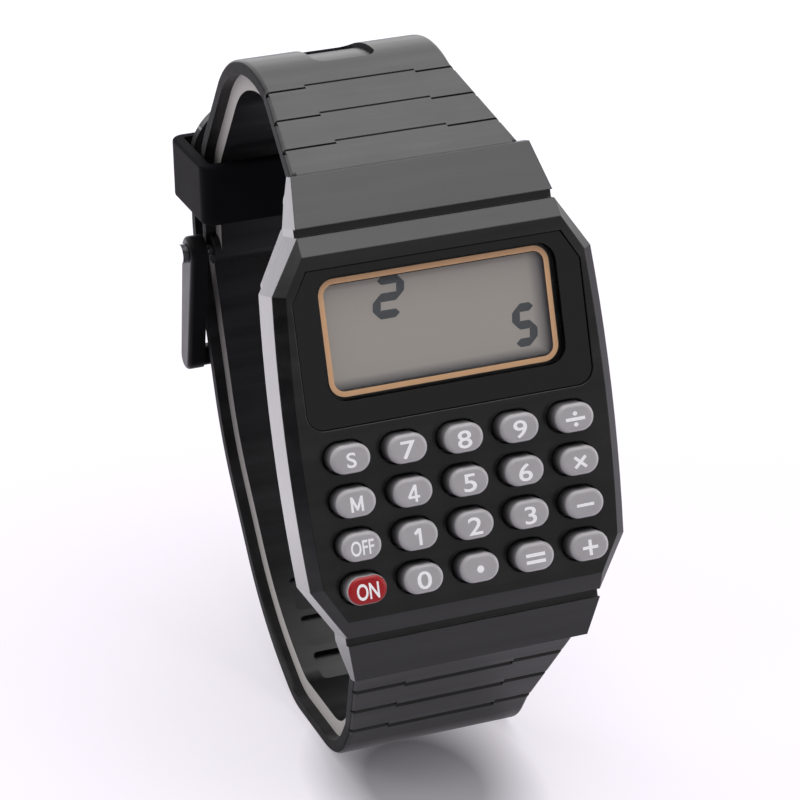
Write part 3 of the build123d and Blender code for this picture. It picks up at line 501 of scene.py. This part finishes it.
def raise_all(height):
    """In edit mode: draw the whole flat outline up along Z into a closed body."""
    bpy.ops.mesh.select_all(action="SELECT")
    bpy.ops.mesh.extrude_region_move(TRANSFORM_OT_translate={"value": (0, 0, height * MM)})
    bpy.ops.mesh.select_all(action="SELECT")
    bpy.ops.mesh.normals_make_consistent(inside=False)


def finish_piece(piece, name, look, body):
    """Give a piece its name and material, and the body it rides on."""
    piece.name = name
    piece.data.name = name
    wear_finish(piece, finishes[look])
    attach(piece, body)


def glyph(text, height, weight, squeeze):
    """Printed characters in the XY plane, centred, as tall as asked."""
    bpy.ops.object.select_all(action="DESELECT")
    bpy.ops.object.text_add(location=(0, 0, 0))
    letters = bpy.context.active_object
    letters.data.body = text
    letters.data.offset = weight
    letters.data.extrude = 0.01
    letters.data.resolution_u = 6
    bpy.ops.object.convert(target="MESH")
    letters = bpy.context.active_object
    corners = [vertex.co for vertex in letters.data.vertices]
    low = Vector([min(corner[axis] for corner in corners) for axis in range(3)])
    high = Vector([max(corner[axis] for corner in corners) for axis in range(3)])
    size = height * MM / (high.y - low.y)
    flat = print_thickness * MM / (high.z - low.z)
    middle = (low + high) / 2
    letters.matrix_world = (Matrix.Diagonal((size * squeeze, size, flat, 1))
                            @ Matrix.Translation((-middle.x, -middle.y, -low.z)))
    pick(letters)
    leave_in_mesh()
    bpy.ops.object.mode_set(mode="EDIT")
    bpy.ops.mesh.select_all(action="SELECT")
    bpy.ops.mesh.remove_doubles(threshold=1e-7)
    bpy.ops.object.mode_set(mode="OBJECT")
    return letters


def strokes(lines, weight):
    """Characters drawn with straight bars in the XY plane, from point to point in mm."""
    bars = []
    for index, (start, end) in enumerate(lines):
        bpy.ops.object.select_all(action="DESELECT")
        bpy.ops.mesh.primitive_cube_add(size=1, location=(0, 0, 0))
        bar = bpy.context.active_object
        run = Vector(end) - Vector(start)
        thickness = print_thickness + layer_step * index
        middle = (Vector((*start, 0)) + Vector((*end, thickness))) / 2
        size = Vector((run.length + weight / 2, weight, thickness))
        bar.matrix_world = (Matrix.Translation(middle * MM)
                            @ Matrix.Rotation(math.atan2(run.y, run.x), 4, "Z")
                            @ Matrix.Diagonal((*(size * MM), 1)))
        bars.append(bar)
    letters = joined(bars)
    leave_in_mesh()
    return letters


# The characters on the keys: text, height in mm, weight and squeeze
key_prints = {"key_%s" % digit: (digit, 1.68, 0.01, 1.32) for digit in "02356789"}
key_prints.update({
    "key_s": ("S", 1.42, 0.014, 1.15), "key_off": ("OFF", 1.42, 0.014, 0.68),
    "key_on": ("ON", 1.56, 0.018, 0.68), "key_point": (".", 0.7, 0.0, 1.0),
    "key_divide": ("÷", 1.45, 0.004, 1.15), "key_multiply": ("×", 1.25, 0.01, 1.1),
    "key_minus": ("−", 0.28, 0.02, 1.5), "key_equals": ("=", 0.98, 0.014, 1.3),
    "key_plus": ("+", 1.5, 0.008, 1.05),
})
# The ones that are drawn with bars: lines from point to point and their width, in mm
drawn_prints = {
    "key_1": ([((0.1, -0.72), (0.1, 0.72)), ((-0.34, 0.36), (0.02, 0.68))], 0.3),
    "key_4": ([((0.2, -0.76), (0.2, 0.74)), ((-0.5, -0.34), (0.5, -0.34)),
               ((-0.5, -0.3), (0.13, 0.7))], 0.24),
    "key_m": ([((-0.5, -0.66), (-0.5, 0.66)), ((-0.47, 0.6), (0, -0.5)), ((0, -0.5), (0.47, 0.6)),
               ((0.5, 0.66), (0.5, -0.66))], 0.23),
}
for row, names in zip(key_rows, key_table):
    for column, name in zip(key_columns, names):
        drawn = drawn_prints.get(name)
        letters = strokes(*drawn) if drawn else glyph(*key_prints[name])
        settle(letters, (column, row - print_drop, key_rise + seat))
        finish_piece(letters, name + "_print", "white", name + "_body")


def rounded_frame(half_width, half_height, corner, wall):
    """A flat ring with round corners in the XY plane, centred, grown from a plane."""
    bpy.ops.object.select_all(action="DESELECT")
    bpy.ops.mesh.primitive_plane_add(size=2, location=(0, 0, 0))
    ring = bpy.context.active_object
    ring.scale = (half_width * MM, half_height * MM, 1)
    leave_in_mesh()
    bpy.ops.object.mode_set(mode="EDIT")
    bpy.ops.mesh.select_all(action="SELECT")
    bpy.ops.mesh.bevel(offset=corner * MM, segments=10, affect="VERTICES")
    bpy.ops.mesh.select_all(action="SELECT")
    bpy.ops.mesh.inset(thickness=wall * MM, depth=0)
    bpy.ops.mesh.delete(type="FACE")
    raise_all(print_thickness)
    bpy.ops.object.mode_set(mode="OBJECT")
    return ring


def bar_between(corners, start, length):
    """A four-sided bar along Z with its section's corners in the XY plane, all in mm."""
    bpy.ops.object.select_all(action="DESELECT")
    bpy.ops.mesh.primitive_plane_add(size=2, location=(0, 0, start * MM))
    bar = bpy.context.active_object
    leave_in_mesh()
    quarters = [(-1, 1), (1, 1), (1, -1), (-1, -1)]
    for (side, level), (x, y) in zip(quarters, corners):
        bpy.ops.object.mode_set(mode="EDIT")
        bpy.ops.mesh.select_mode(type="VERT")
        bpy.ops.mesh.select_all(action="DESELECT")
        bpy.ops.object.mode_set(mode="OBJECT")
        for vertex in bar.data.vertices:
            vertex.select = abs(vertex.co.x - side) < 0.1 and abs(vertex.co.y - level) < 0.1
        bpy.ops.object.mode_set(mode="EDIT")
        bpy.ops.transform.translate(value=(x * MM - side, y * MM - level, 0))
        bpy.ops.object.mode_set(mode="OBJECT")
    bpy.ops.object.mode_set(mode="EDIT")
    raise_all(length)
    bpy.ops.object.mode_set(mode="OBJECT")
    return bar


def crease_inlay(name, body, start, run, face, side_inlay, middle_inlay):
    """What fills a ramp's grooves but for a fine crease at each of their steep walls."""
    bars = []
    for distance in groove_places:
        half_width = root_half_width - ramp_narrowing * distance - ramp_edge_round
        side = [(distance + x, y) for x, y in side_inlay]
        for place in (-half_width, groove_middle):
            bars.append(bar_between(side, place, half_width - groove_middle))
        middle = [(distance + middle_shift + x, y) for x, y in middle_inlay]
        bars.append(bar_between(middle, -groove_middle, 2 * groove_middle))
    inlay = joined(bars)
    turn = Matrix((run, face, run.cross(face))).transposed().to_4x4()
    inlay.matrix_world = Matrix.Translation(start) @ turn
    leave_in_mesh()
    finish_piece(inlay, name, "strap", body)


# Where each ramp starts, its run and its face, and the sections that fill its grooves in mm
crease_inlay("upper_crease_inlay", "upper_strap",
             start=upper_bar + Vector((0, 0.5475, 2.8332)) * MM,
             run=Vector((0, 0.946255, 0.323422)), face=Vector((0, -0.323422, 0.946255)),
             side_inlay=[(-0.6, -0.006), (-0.06, -0.012), (0.05, -0.25), (0, -0.5)],
             middle_inlay=[(-1.3, -0.006), (-0.04, -0.012), (0.05, -0.18), (0, -0.28)])
crease_inlay("lower_crease_inlay", "lower_strap",
             start=lower_bar + Vector((0, -1.1216, -2.6587)) * MM,
             run=Vector((0, 0.566154, -0.8243)), face=Vector((0, -0.8243, -0.566154)),
             side_inlay=[(-0.6, -0.006), (-0.48, -0.03), (-0.16, -0.4), (0, -0.5)],
             middle_inlay=[(-1.3, -0.006), (-0.5, -0.03), (-0.15, -0.24), (0, -0.28)])

line = rounded_frame(line_half_width, (line_high - line_low) / 2, line_corner, line_thickness)
settle(line, (0, (line_low + line_high) / 2, seat - glass_under))
finish_piece(line, "window_line", "copper", "case")


# Bars of the display's digits: width and gap in mm, and the share of the width left at a tip
bar_width = 0.8
bar_gap = 0.04
tip_share = 0.08


def segment(length, width):
    """One bar of a display digit with pointed ends, along X, centred."""
    bpy.ops.object.select_all(action="DESELECT")
    bpy.ops.mesh.primitive_cube_add(size=1, location=(0, 0, 0))
    bar = bpy.context.active_object
    bar.scale = ((length - width) * MM, width * MM, print_thickness * MM)
    leave_in_mesh()
    for side in (-1, 1):
        bpy.ops.object.mode_set(mode="EDIT")
        bpy.ops.mesh.select_all(action="DESELECT")
        bpy.ops.object.mode_set(mode="OBJECT")
        for face in bar.data.polygons:
            face.select = face.normal.x * side > 0.9
        bpy.ops.object.mode_set(mode="EDIT")
        bpy.ops.mesh.select_mode(type="FACE")
        tip = (side * width / 2 * MM, 0, 0)
        bpy.ops.mesh.extrude_region_move(TRANSFORM_OT_translate={"value": tip})
        bpy.ops.transform.resize(value=(1, tip_share, 1))
        bpy.ops.object.mode_set(mode="OBJECT")
    return bar


# The seven bars of a digit: middle across, middle up, and the turn, in shares of its size
bar_shares = {
    "top": (0, 1, 0), "middle": (0, 0, 0), "bottom": (0, -1, 0),
    "upper_left": (-1, 0.5, 90), "upper_right": (1, 0.5, 90),
    "lower_left": (-1, -0.5, 90), "lower_right": (1, -0.5, 90),
}


def display_digit(name, bars, middle, half_width, half_height, lean):
    """A digit of the display, made of the bars named, leaning to the right by a share."""
    parts = []
    for bar_name in bars:
        x_share, y_share, turn = bar_shares[bar_name]
        bar = segment((half_height if turn else 2 * half_width) - bar_gap, bar_width)
        place = Vector((x_share * half_width, y_share * half_height, 0))
        bar.matrix_world = (Matrix.Translation(place * MM)
                            @ Matrix.Rotation(math.radians(turn), 4, "Z"))
        parts.append(bar)
    figure = joined(parts)
    leave_in_mesh()
    slanted = Matrix.Identity(4)
    slanted[0][1] = lean
    figure.data.transform(slanted)
    settle(figure, (*middle, print_thickness / 2 + seat - cell_depth))
    finish_piece(figure, name, "segment", "case")


display_digit("figure_left", ["top", "upper_right", "middle", "lower_left", "bottom"],
              middle=(-4.5, 11.72), half_width=1.15, half_height=1.58, lean=0.14)
display_digit("figure_right", ["top", "upper_left", "middle", "lower_right", "bottom"],
              middle=(8.6, 6.97), half_width=0.88, half_height=1.65, lean=0.1)


def split_place(tree, coordinates):
    """The three parts of a shader's coordinates."""
    place = tree.nodes.new("ShaderNodeTexCoord")
    parts = tree.nodes.new("ShaderNodeSeparateXYZ")
    tree.links.new(place.outputs[coordinates], parts.inputs[0])
    return [Signal(tree, output) for output in parts.outputs]


def light_paths(tree):
    """1 for rays from the camera, off glossy things, and through glass."""
    path = tree.nodes.new("ShaderNodeLightPath")
    kinds = ("Is Camera Ray", "Is Glossy Ray", "Is Transmission Ray")
    return [Signal(tree, path.outputs[kind]) for kind in kinds]


# The stage in metres: the floor, and the middle and reach of the shade on it below the watch
floor_size = 2.4
shade_middle = (-0.003, -0.014)
shade_reach = (0.0115, 0.018)

# How much of the shade is full and how deep it is, then the floor's light in shares of white
shade_core = 0.45
shade_depth = 0.9
floor_glow = 0.57
distant_gain = 0.2
near_shine = 0.3
behind_shine = 1.9
far_dimming = 0.9

# The room seen by glossy things, in shares of white: gains behind and at a lamp, losses in front
back_gain = 0.65
side_lamp_gain = 2.6
front_loss = 0.58
front_left_loss = 0.37
corner_loss = 0.85
fill_light = 0.45


def stage_floor():
    """A pale floor whose own light fades below the watch, and what glossy things see of it."""
    bpy.ops.object.select_all(action="DESELECT")
    bpy.ops.mesh.primitive_plane_add(size=floor_size, location=(0, 0, 0))
    floor = bpy.context.active_object
    floor.name = "floor"
    material = bpy.data.materials.new("pale_floor")
    material.use_nodes = True
    tree = material.node_tree
    shader = tree.nodes["Principled BSDF"]
    shader.inputs["Roughness"].default_value = 0.6
    shader.inputs["Specular IOR Level"].default_value = 0.0
    shader.inputs["Emission Color"].default_value = (*ink(250, 246, 253), 1)
    floor_x, floor_y, _ = split_place(tree, "Object")
    camera_ray, glossy, through_glass = light_paths(tree)
    behind = floor_y.step(-0.01, 0.04)
    leftward = (0 - floor_x).step(0.0, 0.025)
    far = floor_x.distance(floor_y).step(0.15, 0.4)
    distant = floor_y.step(0.03, 0.35)
    shining = glossy * ((1 - far) * near_shine + behind * leftward * behind_shine)
    sideways = (floor_x - shade_middle[0]) / shade_reach[0]
    lengthways = (floor_y - shade_middle[1]) / shade_reach[1]
    # Painted shadow: the floor's own light fades in this patch below the watch
    under = 1 - sideways.distance(lengthways).step(shade_core, 1.0)
    seen = camera_ray.most(through_glass)
    glow = seen * (floor_glow + distant * distant_gain) * (1 - under * shade_depth)
    feed(tree, shader.inputs["Emission Strength"], glow.most(shining))
    dimmed = tree.nodes.new("ShaderNodeMix")
    dimmed.data_type = "RGBA"
    feed(tree, dimmed.inputs["Factor"], glossy * far * (1 - behind) * far_dimming)
    dimmed.inputs[6].default_value = (*ink(184, 180, 188), 1)
    dimmed.inputs[7].default_value = (*ink(30, 30, 32), 1)
    tree.links.new(dimmed.outputs[2], shader.inputs["Base Color"])
    floor.data.materials.append(material)


def stage_world():
    """White to the camera, and to glossy things a room that is bright behind and dark in front."""
    world = bpy.data.worlds.new("studio")
    scene.world = world
    world.use_nodes = True
    tree = world.node_tree
    sky = tree.nodes["Background"]
    x, y, z = split_place(tree, "Generated")
    camera_ray, glossy, through_glass = light_paths(tree)
    front = (0 - y).step(0.0, 0.45)
    back = y.step(0.1, 0.5)
    left = (0 - x).step(0.0, 0.7)
    high = z.step(0.25, 0.7)
    corner = (0 - x).step(0.0, 0.35) * front
    side_lamp = (x * 0.83 - y * 0.56).step(0.92, 0.97)
    room = 1 + back * back_gain
    room = room * (1 - front * (1 - high) * (front_loss + left * front_left_loss))
    room = room * (1 - corner * corner_loss) + side_lamp * side_lamp_gain
    shining = glossy.most(through_glass)
    strength = camera_ray.most(shining * room).most((1 - shining) * fill_light)
    sky.inputs["Color"].default_value = (1, 1, 1, 1)
    feed(tree, sky.inputs["Strength"], strength)


def lamp(name, towards, distance, width, height, glow):
    """A soft box: where it stands as seen from the watch, its size, and how bright its face is."""
    data = bpy.data.lights.new(name, "AREA")
    data.shape = "RECTANGLE"
    data.size = width
    data.size_y = height
    data.energy = glow * math.pi * width * height
    box = bpy.data.objects.new(name, data)
    scene.collection.objects.link(box)
    direction = Vector(towards).normalized()
    sideways = Vector((0, 1, 0)).cross(direction).normalized()
    turn = Matrix((sideways, direction.cross(sideways), direction)).transposed()
    box.location = watch_middle + direction * distance
    box.rotation_euler = turn.to_euler()


def stage_camera():
    """The photograph's own view: the camera's axes in those of the dial, and its place in mm."""
    right = Vector((0.931, -0.1226, 0.3439))
    down = Vector((-0.1671, -0.9805, 0.103))
    forward = Vector((0.3246, -0.1534, -0.9333))
    place = Vector((-109.64, 51.64, 300.43))
    turn = dial.to_3x3() @ Matrix((right, -down, -forward)).transposed()
    camera_data = bpy.data.cameras.new("photo_view")
    camera_data.sensor_width = 36
    camera_data.lens = 156.9
    camera_data.clip_start = 0.01
    camera_data.clip_end = 20
    camera = bpy.data.objects.new("photo_view", camera_data)
    scene.collection.objects.link(camera)
    camera.rotation_mode = "QUATERNION"
    camera.rotation_quaternion = turn.to_quaternion()
    camera.location = dial @ (place * MM)
    scene.camera = camera


stage_floor()
stage_world()
lamp("top_box", towards=(0.15, 0.0, 0.97), distance=1.1, width=0.95, height=1.75, glow=2.0)
lamp("left_box", towards=(-0.7, 0.35, 0.6), distance=1.2, width=0.6, height=0.6, glow=0.8)
stage_camera()
scene.view_settings.view_transform = "Standard"
